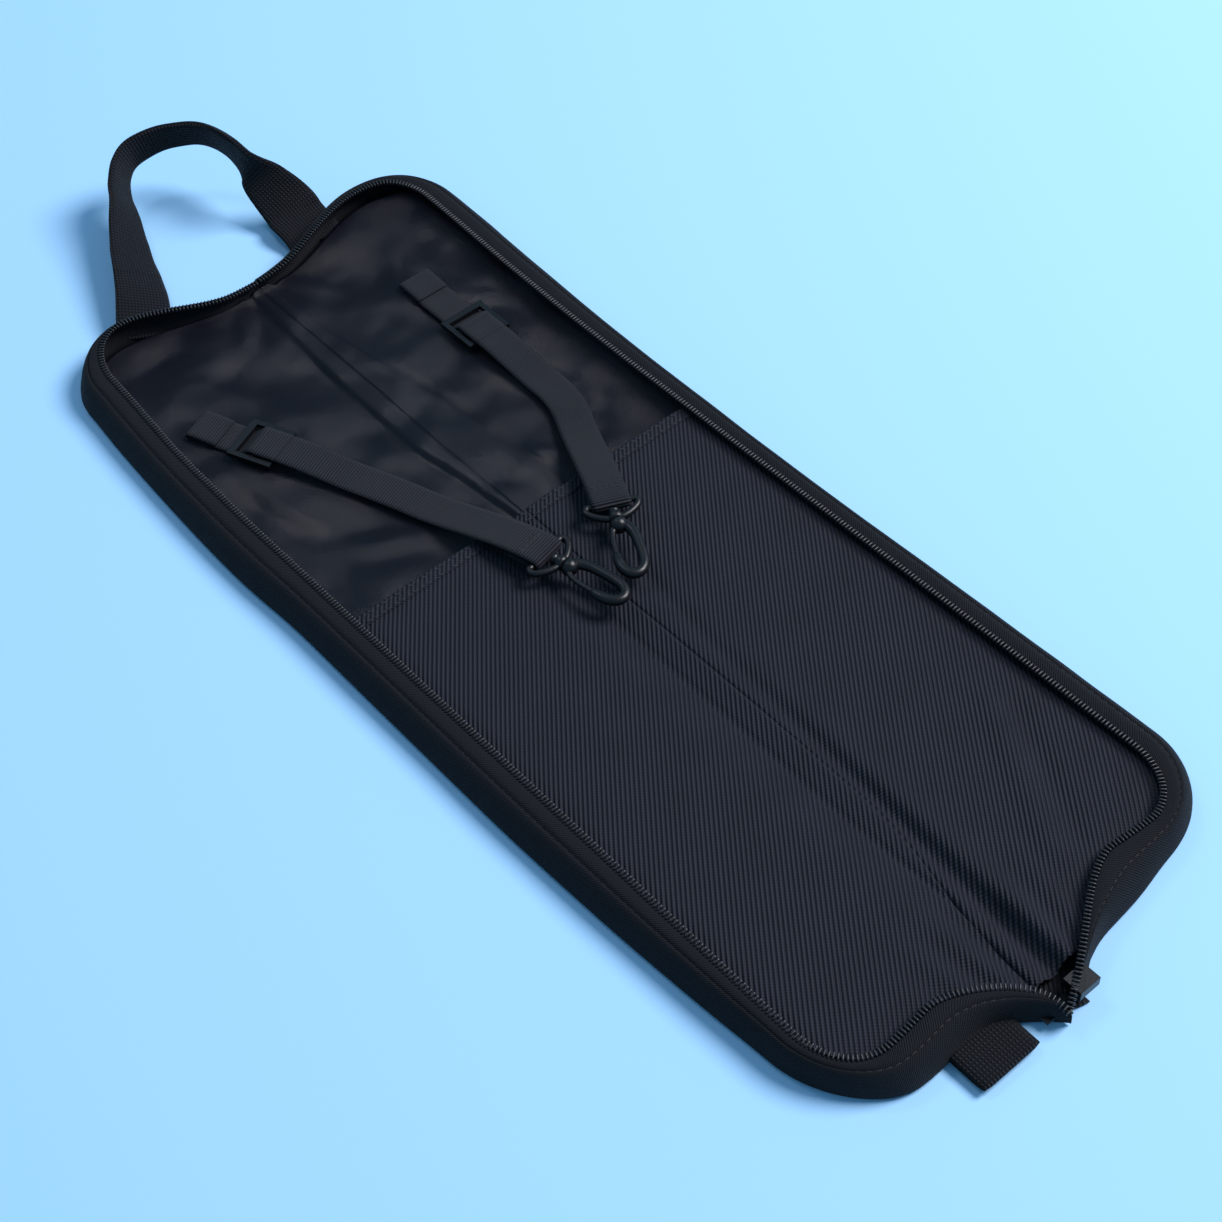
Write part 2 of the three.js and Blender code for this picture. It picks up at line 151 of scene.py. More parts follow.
def sheet_piece(name, top, thickness, uvs, material):
    """A closed sheet from a grid of points (rows, columns, 3) and its thickness downwards."""
    nu, nv, _ = top.shape
    normals = unit(np.cross(np.gradient(top, axis=0), np.gradient(top, axis=1)))
    normals *= np.sign(normals[nu // 2, nv // 2, 2]) or 1.0
    under = top - normals * thickness
    verts = np.concatenate([top.reshape(-1, 3), under.reshape(-1, 3)])
    n = nu * nv
    faces = grid_quads(nu, nv) + [q[::-1] for q in grid_quads(nu, nv, n)]
    rim = [i * nv for i in range(nu)]
    rim += [(nu - 1) * nv + j for j in range(1, nv)]
    rim += [i * nv + nv - 1 for i in range(nu - 2, -1, -1)]
    rim += list(range(nv - 2, 0, -1))
    faces += [(a, b, b + n, a + n) for a, b in zip(rim, rim[1:] + rim[:1])]
    flat = uvs.reshape(-1, 2)
    return make_piece(name, verts, faces, np.concatenate([flat, flat]), material)


def closed_faces(nu, nv, offset=0):
    """The faces round nu rings of nv points, with a cap at each end."""
    first, last = ([start + j for j in range(nv)] for start in (offset, offset + (nu - 1) * nv))
    return grid_quads(nu, nv, offset, wrap=True) + [tuple(first[::-1]), tuple(last)]


def loft_piece(name, rings, material, uvs=None):
    """A closed body through rings of points (ring, point, 3)."""
    flat = None if uvs is None else uvs.reshape(-1, 2)
    return make_piece(name, rings.reshape(-1, 3), closed_faces(*rings.shape[:2]), flat, material)


def resample(points, step):
    """Evenly spaced points along a polyline, and the length along it of each."""
    points = np.asarray(points, float)
    lengths = path_lengths(points)
    at = np.linspace(0, lengths[-1], max(2, int(round(lengths[-1] / step)) + 1))
    return np.stack([np.interp(at, lengths, points[:, k]) for k in range(3)], axis=1), at


def spline(points, per_span=12):
    """A Catmull-Rom curve through points of any dimension."""
    p = np.asarray(points, float)
    p = np.vstack([2 * p[0] - p[1], p, 2 * p[-1] - p[-2]])
    out = []
    for i in range(1, len(p) - 2):
        t = np.linspace(0, 1, per_span, endpoint=False)[:, None]
        a, b, c, d = p[i - 1], p[i], p[i + 1], p[i + 2]
        out.append(0.5 * (2 * b + (c - a) * t + (2 * a - 5 * b + 4 * c - d) * t**2
                          + (3 * b - a - 3 * c + d) * t**3))
    return np.vstack(out + [p[-2:-1]])


def tube_rings(path, radii, sides=14, flat=1.0):
    """Round rings along a path; flat squeezes them in height. The ends close in a dome."""
    path = np.asarray(path, float)
    radii = np.broadcast_to(np.asarray(radii, float), len(path)).copy()
    along = unit(np.gradient(path, axis=0))
    side = unit(np.cross(UP, along))
    rise = np.cross(along, side)
    domes = [(-0.95, 0.25), (-0.7, 0.7), (-0.3, 0.95)]
    start = [(path[0] + along[0] * radii[0] * a, k * radii[0], 0) for a, k in domes]
    end = [(path[-1] - along[-1] * radii[-1] * a, k * radii[-1], len(path) - 1) for a, k in domes[::-1]]
    rows = start + [(path[i], radii[i], i) for i in range(len(path))] + end
    turn = np.linspace(0, 2 * np.pi, sides, endpoint=False)
    rings = [c + r * (np.outer(np.cos(turn), side[i]) + flat * np.outer(np.sin(turn), rise[i]))
             for c, r, i in rows]
    return np.array(rings)


def join_pieces(name, parts):
    """Several mesh objects as one object."""
    bpy.ops.object.select_all(action="DESELECT")
    for part in parts:
        part.select_set(True)
    bpy.context.view_layer.objects.active = parts[0]
    bpy.ops.object.join()
    parts[0].name = name
    parts[0].data.name = name
    return parts[0]


# ---------- materials ----------


class Shader:
    """A node material with a Principled shader and short calls to add nodes."""

    def __init__(self, name, roughness, specular=0.5, sheen=0.0, sheen_roughness=0.5):
        self.material = bpy.data.materials.new(name)
        self.material.use_nodes = True
        self.tree = self.material.node_tree
        self.shader = self.tree.nodes["Principled BSDF"]
        self.shader.inputs["Roughness"].default_value = roughness
        self.shader.inputs["Specular IOR Level"].default_value = specular
        self.shader.inputs["Sheen Weight"].default_value = sheen
        self.shader.inputs["Sheen Roughness"].default_value = sheen_roughness

    def node(self, kind, **inputs):
        made = self.tree.nodes.new("ShaderNode" + kind)
        for key, value in inputs.items():
            self.put(value, made.inputs[key])
        return made

    def put(self, value, socket):
        if isinstance(value, bpy.types.NodeSocket):
            self.tree.links.new(value, socket)
        else:
            socket.default_value = value

    def math(self, operation, a, b=0.0):
        made = self.tree.nodes.new("ShaderNodeMath")
        made.operation = operation
        self.put(a, made.inputs[0])
        self.put(b, made.inputs[1])
        return made.outputs[0]

    def cloth_uv(self):
        return self.node("UVMap").outputs["UV"]

    def wave(self, vector, direction, pitch):
        """A sine from 0 to 1 across the cloth, with its crests pitch millimetres apart."""
        dot = self.tree.nodes.new("ShaderNodeVectorMath")
        dot.operation = "DOT_PRODUCT"
        self.put(vector, dot.inputs[0])
        scale = 2 * math.pi / (pitch * MM)
        dot.inputs[1].default_value = (direction[0] * scale, direction[1] * scale, 0)
        swing = self.math("SINE", dot.outputs["Value"])
        return self.math("ADD", self.math("MULTIPLY", swing, 0.5), 0.5)

    def noise(self, vector, scale, detail=3.0):
        made = self.node("TexNoise", Vector=vector, Scale=scale, Detail=detail)
        return made.outputs["Fac"]

    def colour(self, factor, dark, light):
        ramp = self.tree.nodes.new("ShaderNodeValToRGB")
        ramp.color_ramp.elements[0].color = (*dark, 1)
        ramp.color_ramp.elements[1].color = (*light, 1)
        self.put(factor, ramp.inputs["Fac"])
        self.tree.links.new(ramp.outputs["Color"], self.shader.inputs["Base Color"])

    def relief(self, height, depth_mm):
        bump = self.node("Bump", Height=height, Distance=depth_mm * MM, Strength=1.0)
        self.tree.links.new(bump.outputs["Normal"], self.shader.inputs["Normal"])

    def rough(self, factor, low, high):
        span = self.math("MULTIPLY", factor, high - low)
        self.put(self.math("ADD", span, low), self.shader.inputs["Roughness"])

    def mix(self, a, b, share):
        return self.math("ADD", self.math("MULTIPLY", a, share), self.math("MULTIPLY", b, 1 - share))

    def weave(self, height, lit_and_rough_patches, lift, dark, light):
        """Paints highlight on the raised threads and shade between them, brighter in the painted lit patches.
        """
        self.colour(self.math("MULTIPLY", height, self.math("ADD", lit_and_rough_patches, lift)), dark, light)


def oxford_cloth(name, dark, light, rib=1.6, thread=1.1):
    """Ribbed Oxford: raised ribs on the diagonal, crossed by finer threads."""
    s = Shader(name, 0.7, specular=0.16, sheen=0.02)
    uv = s.cloth_uv()
    ribs = s.mix(s.wave(uv, (0.78, -0.62), rib), s.wave(uv, (0.62, 0.78), thread), 0.8)
    lit_and_rough_patches = s.noise(uv, 60.0)
    # Painted highlight on the raised ribs, painted shade between them, and painted lit patches.
    s.weave(ribs, lit_and_rough_patches, 0.45, dark, light)
    s.relief(ribs, 0.5)
    s.rough(lit_and_rough_patches, 0.55, 0.75)
    return s.material


def shiny_nylon(name, dark, light):
    """Thin lining nylon: a very fine plain weave with a soft shine and faint crumpling, the crumple's crests
    painted lighter as sheen.
    """
    s = Shader(name, 0.3, specular=0.25)
    uv = s.cloth_uv()
    weave = s.math("ADD", s.wave(uv, (1, 0), 0.45), s.wave(uv, (0, 1), 0.45))
    crumple_and_sheen = s.noise(uv, 21.0, 1.5)
    # Painted sheen: the crumple's crests are coloured lighter, and its hollows darker as painted shade.
    s.colour(crumple_and_sheen, dark, light)
    height = s.math("ADD", s.math("MULTIPLY", weave, 0.006), crumple_and_sheen)
    s.relief(height, 13.0)
    s.rough(crumple_and_sheen, 0.23, 0.3)
    return s.material


def twill_tape(name, dark, light, pitch=0.8):
    """The zip tape and side wall: close slanting ribs."""
    s = Shader(name, 0.8, specular=0.2, sheen=0.02)
    uv = s.cloth_uv()
    ribs = s.mix(s.wave(uv, (0.8, 0.6), pitch), s.wave(uv, (0.6, -0.8), pitch * 0.6), 0.75)
    lit_and_rough_patches = s.noise(uv, 80.0)
    # Painted highlight on the raised ribs, painted shade between them, and painted lit patches.
    s.weave(ribs, lit_and_rough_patches, 0.4, dark, light)
    s.relief(ribs, 0.25)
    s.rough(lit_and_rough_patches, 0.7, 0.92)
    return s.material


def basket_webbing(name, dark, light, along=1.5, across=1.35):
    """Heavy webbing in a basket weave: rows of raised knots."""
    s = Shader(name, 0.7, specular=0.18, sheen=0.03, sheen_roughness=0.45)
    uv = s.cloth_uv()
    knots = s.math("MULTIPLY", s.wave(uv, (1, 0), along), s.wave(uv, (0, 1), across))
    fibres = s.wave(uv, (0, 1), across / 5)
    height = s.math("ADD", knots, s.math("MULTIPLY", fibres, 0.12))
    lit_and_rough_patches = s.noise(uv, 70.0)
    # Painted highlight on the raised knots, painted shade between them, and painted lit patches.
    s.weave(height, lit_and_rough_patches, 0.5, dark, light)
    s.relief(height, 0.6)
    s.rough(lit_and_rough_patches, 0.6, 0.85)
    return s.material


def ribbed_webbing(name, dark, light, pitch=1.15):
    """Light strap webbing: fine ribs straight across, crossed by finer lines along it."""
    s = Shader(name, 0.6, specular=0.24, sheen=0.03, sheen_roughness=0.45)
    uv = s.cloth_uv()
    ribs = s.mix(s.wave(uv, (1, 0), pitch), s.wave(uv, (0, 1), pitch * 0.5), 0.8)
    lit_and_rough_patches = s.noise(uv, 90.0)
    # Painted highlight on the raised ribs, painted shade between them, and painted lit patches.
    s.weave(ribs, lit_and_rough_patches, 0.5, dark, light)
    s.relief(ribs, 0.45)
    s.rough(lit_and_rough_patches, 0.5, 0.7)
    return s.material


def moulded_plastic(name, colour, roughness=0.3):
    """Black acetal with a faint moulded grain and handling marks."""
    s = Shader(name, roughness, specular=0.4)
    place = s.node("TexCoord").outputs["Object"]
    grain = s.noise(place, 900.0)
    marks = s.noise(place, 120.0)
    s.colour(marks, colour, tuple(c * 1.6 for c in colour))
    s.relief(grain, 0.05)
    s.rough(marks, roughness - 0.06, roughness + 0.14)
    return s.material


def thread(name, colour):
    """Twisted sewing thread."""
    s = Shader(name, 0.55, specular=0.4)
    place = s.node("TexCoord").outputs["Object"]
    twist = s.noise(place, 2500.0)
    s.colour(twist, tuple(c * 0.6 for c in colour), colour)
    s.relief(twist, 0.08)
    return s.material


def closed_cell_foam(name, colour):
    """Dull foam with fine cells."""
    s = Shader(name, 0.95)
    cells = s.noise(s.node("TexCoord").outputs["Object"], 1500.0)
    s.colour(cells, tuple(c * 0.7 for c in colour), colour)
    s.relief(cells, 0.2)
    return s.material


# Darkest and lightest linear colours, or one colour. On the cloths and webbing the dark end is painted shade
# and the light end painted highlight.
OXFORD = oxford_cloth("oxford", (0.003, 0.004, 0.0075), (0.021, 0.023, 0.036))
COVER = oxford_cloth("cover_cloth", (0.004, 0.0045, 0.006), (0.016, 0.0175, 0.024))
NYLON = shiny_nylon("nylon_lining", (0.003, 0.003, 0.006), (0.0068, 0.0068, 0.0125))
TAPE = twill_tape("zip_tape", (0.0018, 0.0022, 0.0035), (0.0075, 0.009, 0.0135))
BASKET = basket_webbing("basket_webbing", (0.0012, 0.0015, 0.0026), (0.0135, 0.015, 0.0225))
RIBBED = ribbed_webbing("ribbed_webbing", (0.0012, 0.0015, 0.0026), (0.0155, 0.017, 0.025))
PLASTIC = moulded_plastic("moulded_plastic", (0.0025, 0.0026, 0.0035), 0.34)
# The teeth are coloured lighter than the black moulding, as painted highlight.
TEETH = moulded_plastic("zip_teeth", (0.014, 0.015, 0.018), 0.34)
THREAD = thread("thread", (0.012, 0.013, 0.017))
FOAM = closed_cell_foam("foam", (0.045, 0.045, 0.05))

# ---------- the bag's plan ----------


def outline(s, inset):
    """Point (distance from the spine, y) at s along a half's edge, moved in by inset."""
    upper = s > EDGE / 2
    t = max(EDGE - s, 0.0) if upper else s
    if t <= STRAIGHT:
        x, y = t, inset - HALF_LENGTH
    elif t <= STRAIGHT + ARC:
        a = (t - STRAIGHT) / CORNER - math.pi / 2
        x = STRAIGHT + (CORNER - inset) * math.cos(a)
        y = CORNER - HALF_LENGTH + (CORNER - inset) * math.sin(a)
    else:
        x, y = REACH - inset, CORNER - HALF_LENGTH + t - STRAIGHT - ARC
    return (x, -y - notch(x)) if upper else (x, y)


def notch(x):
    """How far the handle end dips at a distance x from the spine."""
    return NOTCH * smooth((STRAIGHT - x) / (STRAIGHT - 12))


# How the soft edge strays from its plan: distance along it, then the shift outwards and along Y
BASE_STRAY = {
    -1: [(0, 0, -21), (12, 0, -18), (22, 0, -6), (32, 0, -3), (47, 0, -3.5), (61, 0, -5.8),
         (75, -1.5, -1), (88, -5, 0), (100, -6, 0), (114, -6, 0), (130, -4.2, 0), (150, -2.7, 0),
         (180, -0.8, 0), (210, 0.3, 0), (235, 1, 0), (310, 0.8, 0), (360, 0.5, 0), (385, 2.2, 0),
         (410, 2, 0), (435, 1, 0), (460, -0.3, 0), (485, -2, 0), (510, -4.5, -2), (535, -4, -6),
         (560, -1, -9), (590, 0, -10), (606, 0, -10), (621, 0, -8)],
    1: [(0, 0, -21), (10, 0, -8), (20, 0, -5.6), (40, 0, -4.7), (61, 0, 0.3), (88, 0, 1), (114, -0.5, 0),
        (150, -1, 0), (210, -2, 0), (260, -3.7, 0), (310, -3.9, 0), (360, -3.4, 0), (410, -2, 0),
        (435, -0.3, 0), (460, 0.8, 0), (485, 2.7, 0), (510, 3.2, 0), (535, 3, 0), (560, 0, -3.5),
        (590, 0, -4.5), (606, 0, -5), (621, 0, -8)],
}
RIM_STRAY = {
    -1: [(0, 0, 0), (30, 0, -3), (61, 0, -6), (88, 1, -6), (114, 1, -2), (210, 1, 0), (310, 1.5, 0),
         (410, 2, 0), (455, 1, 0), (485, -1.5, 0), (510, -3.5, 0), (535, -4, 2), (560, -2, 2),
         (590, 0, 0.5), (621, 0, 2)],
    1: [(0, 0, 0), (30, 0, -1), (61, 0, -5), (88, 0, -4), (114, 0, 0), (210, 0, 0), (310, -0.5, 0),
        (410, 0, 0), (460, 2, 0), (485, 3.5, 0), (510, 4, 2), (535, 4, 6), (560, 1, 3), (580, 0, 3.5),
        (600, 0, 4), (621, 0, 2)],
}


def stray(table, s):
    """Smooth shift (outwards, along Y) at s from a table of control distances."""
    at, out, along = zip(*table)
    window = np.linspace(-14, 14, 9)
    weight = 1 - (window / 18) ** 2
    return [np.sum(np.interp(s + window, at, v) * weight) / np.sum(weight) for v in (out, along)]


SAMPLE_STEP = 2.0
EDGE_SAMPLES = np.arange(0, EDGE + SAMPLE_STEP, SAMPLE_STEP)
BASE_SHIFT = {side: np.array([stray(BASE_STRAY[side], s) for s in EDGE_SAMPLES]) for side in (-1, 1)}


EDGE_DEPTH = 32.0


def follow_edge(grid, side):
    """Moves a flat layer's rim with the edge of its half, fading inwards over EDGE_DEPTH."""
    x, y = np.abs(grid[:, :, 0]), grid[:, :, 1]
    past_x, past_y = x - STRAIGHT, np.abs(y) - (HALF_LENGTH - CORNER)
    turn = CORNER * np.arctan2(np.maximum(past_x, 0), np.maximum(past_y, 1e-6))
    near_end = np.where(past_x > 0, STRAIGHT + turn, x)
    s = np.where(y < 0, near_end, EDGE - near_end)
    s = np.where((past_y <= 0) & (past_x > 0), STRAIGHT + ARC + y + HALF_LENGTH - CORNER, s)
    gap = np.where(past_x > 0, CORNER - np.hypot(past_x, np.maximum(past_y, 0)), CORNER - past_y)
    share = smooth(1 - gap / EDGE_DEPTH)
    out, along = (np.interp(s, EDGE_SAMPLES, BASE_SHIFT[side][:, k]) for k in (0, 1))
    grid[:, :, 0] += side * out * share
    grid[:, :, 1] += along * share


def lip_share(x):
    """1 at the middle of the bottom lip, 0 beyond its reach."""
    return np.clip((LIP_REACH - np.abs(x)) / LIP_REACH, 0, 1)


SPINE_FADE = 12.0


def clear_of_spine(s):
    """0 at the spine at either end of a half's edge, 1 once away from it."""
    return smooth(s / SPINE_FADE) * smooth((EDGE - s) / SPINE_FADE)


def base_point(side, s):
    """Where the side wall meets the floor at s."""
    x, y = outline(s, 0.0)
    out, along = stray(BASE_STRAY[side], s)
    pull = 0.85 * LIP_TIP_X * lip_share(x) ** 4 if y < 0 else 0.0
    return np.array([side * (x + out * clear_of_spine(s)) + pull, y + along])


def rim_point(side, s):
    """The zip rim's point (x, y, z) at s, with the lip at the bottom and the rise at the top."""
    topness = smooth((s - EDGE + 140) / 90)
    x, y = outline(s, RIM_INSET - 2.0 * topness)
    out, along = stray(RIM_STRAY[side], s)
    z = RIM_HEIGHT + TOP_RIM_RISE * topness
    x_signed = side * (x + out * clear_of_spine(s))
    if y < 0:
        near = lip_share(x)
        y -= LIP_DROP * near**1.5
        x_signed += LIP_TIP_X * near**4
        z -= 4.5 * near**6
    else:
        z -= 3.5 * smooth((40 - x) / 40)
    y += along
    z += 0.35 * wander(x_signed, y, 40.0, 7.0)
    return np.array([x_signed, y, z])


SPOUT_LENGTH = 70.0


def plan_grid(side, inset, columns, rows, low=None, high=None, spout=0.0):
    """A grid over one half in plan, from spine to edge: x, y and 0. The spout draws it into the lip."""
    u = 1 - (1 - np.linspace(0, 1, columns)) ** 1.5
    reach = REACH - inset
    x = reach * u
    r = CORNER - inset
    past = np.clip(x - STRAIGHT, 0, r)
    corner = r - np.sqrt(np.maximum(r * r - past * past, 0))
    bottom = -HALF_LENGTH + inset + corner
    top = HALF_LENGTH - inset - corner - np.where(x < STRAIGHT, notch(x), 0)
    bottom = bottom if low is None else np.maximum(bottom, low)
    top = top if high is None else np.minimum(top, high)
    v = np.linspace(0, 1, rows)
    y = bottom[:, None] + (top - bottom)[:, None] * v[None, :]
    grid = np.stack([side * np.repeat(x[:, None], rows, 1), y, np.zeros_like(y)], axis=2)
    if spout:
        depth = smooth((-HALF_LENGTH + inset + SPOUT_LENGTH - y) / SPOUT_LENGTH)
        grid[:, :, 1] -= depth * spout * lip_share(x)[:, None] ** 1.5
        grid[:, :, 0] += depth * LIP_TIP_X * lip_share(x)[:, None] ** 4
    return grid


def across_fold(piece, side, name):
    """Bakes the piece's placement into its mesh; it stays where it is."""
    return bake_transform(piece)


def with_spine(side, nodes, spine_nodes):
    """The right half's pieces stand for the spine's nodes too."""
    return nodes + (spine_nodes if side > 0 else [])


# ---------- cloth layers ----------

# The cloth layers on the foam. Inset is the gap to the body's edge, and share is what is left of
# the flat rectangle once its corners and notch are cut.
Layer = namedtuple("Layer", "node spine_node inset thickness material slot held share")
LAYERS = {
    "outer_cover": Layer("cover", "spine_cover", 1.2, 0.9, COVER, "black_cloth", "stretched", 0.96),
    "nylon_lining": Layer("lining", "spine_lining", 8.5, 0.35, NYLON, "nylon_lining", "laid", 0.95),
    "slip_pocket": Layer("pocket", "spine_pocket_strip", 9.5, 0.6, OXFORD, "oxford", "stretched", 0.97),
}
PAD_INSET, PAD_THICKNESS = 6.0, 0.9
HEM_INSET, HEM_THICKNESS = 12.0, 0.3
PAD_START = 16.0        # the pad begins this far from the spine's middle
PAD_TOP = 2.9
LINING_OVERLAP = 60.0   # the lining runs this far down inside the pocket
LINING_CAP = 5.1        # the lining stays below this, and lower still under the strap ends
STRAP_END_SPOTS = [(-66, 148), (52, 150)]
HOOK_REST = (14, -14)   # the pocket dips here, under the snap hooks
SPOUT_END = -235.5      # the gathered cloth stops here, short of the parked zip slider
SPOUT_HALF_WIDTH = 22.0

# Lines where the lining creases along the spine's two folds, as (y, x)
RIGHT_CREASE = [(-20, 24), (30, 24), (60, 22), (94, 20), (127, 14.5), (158, 9.5), (216, 7)]
LEFT_CREASE = [(-20, -3), (30, -3.5), (58, -6), (86, -10), (140, -10), (171, -8), (216, -5)]

# Soft folds in the lining: start, end, height and width, in millimetres
LINING_FOLDS = [
    ((-66, 196), (-30, 120), 1.5, 9.0), ((-76, 150), (-44, 60), 1.3, 8.0), ((-34, 200), (-20, 60), 1.0, 7.0),
    ((-70, 70), (-24, 42), 1.2, 6.0), ((-72, 118), (-50, 50), 0.9, 5.0), ((-46, 112), (-14, 44), 1.2, 6.0),
    ((20, 205), (44, 96), 1.4, 9.0), ((66, 200), (30, 140), 1.2, 8.0), ((76, 160), (56, 70), 1.3, 8.0),
    ((34, 120), (70, 42), 1.2, 6.0), ((74, 84), (40, 44), 1.1, 5.5), ((2, 190), (6, 50), 0.8, 6.0),
    ((60, 150), (80, 120), 0.9, 4.0), ((-12, 60), (10, 38), 0.8, 4.0), ((22, 62), (34, 40), 1.0, 3.5),
    ((-8, 204), (-26, 176), 0.8, 4.0), ((12, 206), (26, 176), 0.8, 4.0),
]


def segment_distance(x, y, a, b):
    """Distance from points to a segment, and the share of the way along it."""
    ab = np.subtract(b, a)
    k = np.clip(((x - a[0]) * ab[0] + (y - a[1]) * ab[1]) / (ab @ ab), 0, 1)
    return np.hypot(x - a[0] - k * ab[0], y - a[1] - k * ab[1]), k


def crease_distance(x, y, line):
    """How far to the right of a crease a point lies."""
    ys, xs = zip(*line)
    return x - np.interp(y, ys, xs)


def lining_height(x, y):
    """Top of the nylon lining: slack folds, two spine creases and a rise to the wall."""
    z = np.full_like(x, LINING_Z + 0.6)
    for a, b, height, width in LINING_FOLDS:
        d, k = segment_distance(x, y, a, b)
        taper = np.sin(np.pi * k) ** 1.5
        z += height * bump_at(d, width) * taper - 0.4 * height * bump_at(d - 1.5 * width, width * 0.8) * taper
    for line, lean in ((RIGHT_CREASE, -1), (LEFT_CREASE, 1)):
        d = crease_distance(x, y, line)
        z += 1.3 * bump_at(d - lean * 5.0, 5.0) - 1.5 * bump_at(d, 1.6)
    z += 0.9 * wander_all(x, y * 0.7, 38.0, 1.0) + 0.25 * wander_all(x, y * 0.6, 14.0, 2.0)
    edge = np.abs(x) - (REACH - 24)
    z += 2.2 * smooth(edge / 15) + 2.0 * smooth((y - (HALF_LENGTH - 34)) / 22)
    strap_ends = sum(bump_at(np.hypot(x - sx, y - sy), 26.0) for sx, sy in STRAP_END_SPOTS)
    cap = LINING_CAP - 0.95 * strap_ends
    cap += 3.0 * smooth((np.abs(x) - 78) / 8) + 3.0 * smooth((y - 202) / 10)
    anchor_x, anchor_y = STRAPS["left"]["anchor"]
    cap -= 0.3 * bump_at(np.hypot(x - anchor_x, y - anchor_y), 12.0)
    return np.clip(z, LINING_Z - 0.2, cap)


def panel_height(x, y):
    """Top of the Oxford slip pocket, which dips along the spine seam and gathers at the lip."""
    seam = crease_distance(x, y, [(-230, -6), (-150, -10), (30, -10)])
    fold = crease_distance(x, y, [(-230, -2), (-150, 3), (-60, 8), (30, 20)])
    low_end = smooth((-60 - y) / 130)
    z = np.full_like(x, PANEL_Z + 0.25)
    z -= 2.2 * bump_at(seam, 9.0) + 0.9 * bump_at(seam, 1.2)
    z -= (0.8 + 1.8 * low_end) * bump_at(fold, 3.0)
    z += 0.9 * low_end * bump_at(fold - 6.0, 5.0)
    z += 0.45 * wander_all(x, y, 60.0, 3.0) + 0.15 * wander_all(x, y, 22.0, 4.0)
    gather = smooth((-HALF_LENGTH + 46 - y) / 34) * bump_at(x + 6, 24.0)
    z += gather * (1.2 * np.sin((x + 8) * (0.42 + 0.0035 * (-190 - y)) + 0.6) - 0.8)
    z -= 2.6 * smooth((-HALF_LENGTH - y) / 20)
    z -= 1.6 * smooth((np.abs(x) - (REACH - 20)) / 12)
    z -= 1.4 * smooth((-HALF_LENGTH + 20 - y) / 12) * (1 - bump_at(x, 30.0))
    z -= 1.9 * bump_at(np.hypot(x - HOOK_REST[0], y - HOOK_REST[1]), 17.0)
    fold_out = bump_at(segment_distance(x, y, (60, -150), (30, -205))[0], 5.0)
    z += 0.9 * fold_out - 0.7 * bump_at(segment_distance(x, y, (66, -156), (40, -208))[0], 4.0)
    return np.clip(z, LINING_Z - 0.3, PANEL_Z + 1.4)


def panel_at(x, y):
    """Top of the pocket at one point."""
    return panel_height(np.array([x]), np.array([y]))[0]


def plan_uv(grid):
    """Cloth coordinates in metres, straight down from above."""
    return grid[:, :, :2] * MM


def lay_cloth(side, name, title, grid):
    """Makes one half's layer of cloth."""
    layer = LAYERS[title]
    piece = sheet_piece(f"{name}_{title}", grid, layer.thickness, plan_uv(grid), layer.material)
    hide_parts(*with_spine(side, [f"{name}_{layer.node}"], [layer.spine_node]))
    across_fold(piece, side, name)


def make_cover(side, name):
    """The outer Oxford layer, flat on its underside, rounded up at its edge."""
    grid = plan_grid(side, LAYERS["outer_cover"].inset, 40, 90)
    edge = np.clip((np.abs(grid[:, :, 0]) - (REACH - 8)) / 7, 0, 1)
    grid[:, :, 2] = COVER_TOP + 0.1 + 0.5 * edge**2
    follow_edge(grid, side)
    lay_cloth(side, name, "outer_cover", grid)


def make_pad(side, name):
    """The thin foam inside a half, crowned a little and soft at its edges."""
    grid = plan_grid(side, PAD_INSET, 30, 60)
    x = np.maximum(np.abs(grid[:, :, 0]), PAD_START)
    grid[:, :, 0] = side * x
    inner = np.clip((REACH - PAD_INSET - x) / 10, 0, 1) * np.clip((x - PAD_START) / 6, 0, 1)
    grid[:, :, 2] = PAD_TOP - 0.7 * (1 - smooth(inner))
    follow_edge(grid, side)
    grid = grid[8:]     # the first columns all lie at the pad's start
    piece = sheet_piece(f"{name}_foam_shell", grid, PAD_THICKNESS, plan_uv(grid), FOAM)
    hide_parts(f"{name}_foam_pad")
    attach(piece, f"{name}_half")


def make_lining(side, name):
    """The shiny nylon of the upper part, which runs on inside the pocket."""
    low, inset = MOUTH_Y - LINING_OVERLAP, LAYERS["nylon_lining"].inset
    grid = plan_grid(side, inset, 90, 150, low=low)
    follow_edge(grid, side)
    grid[:, :, 2] = lining_height(grid[:, :, 0], grid[:, :, 1])
    lay_cloth(side, name, "nylon_lining", grid)


def make_pocket(side, name):
    """The Oxford slip pocket of the lower part, gathered into the lip at its bottom."""
    inset = LAYERS["slip_pocket"].inset
    grid = plan_grid(side, inset, 90, 170, high=MOUTH_Y, spout=8.0)
    follow_edge(grid, side)
    near_spine = np.abs(grid[:, :, 0]) < SPOUT_HALF_WIDTH
    grid[:, :, 1] = np.where(near_spine, np.maximum(grid[:, :, 1], SPOUT_END), grid[:, :, 1])
    grid[:, :, 2] = panel_height(grid[:, :, 0], grid[:, :, 1])
    lay_cloth(side, name, "slip_pocket", grid)


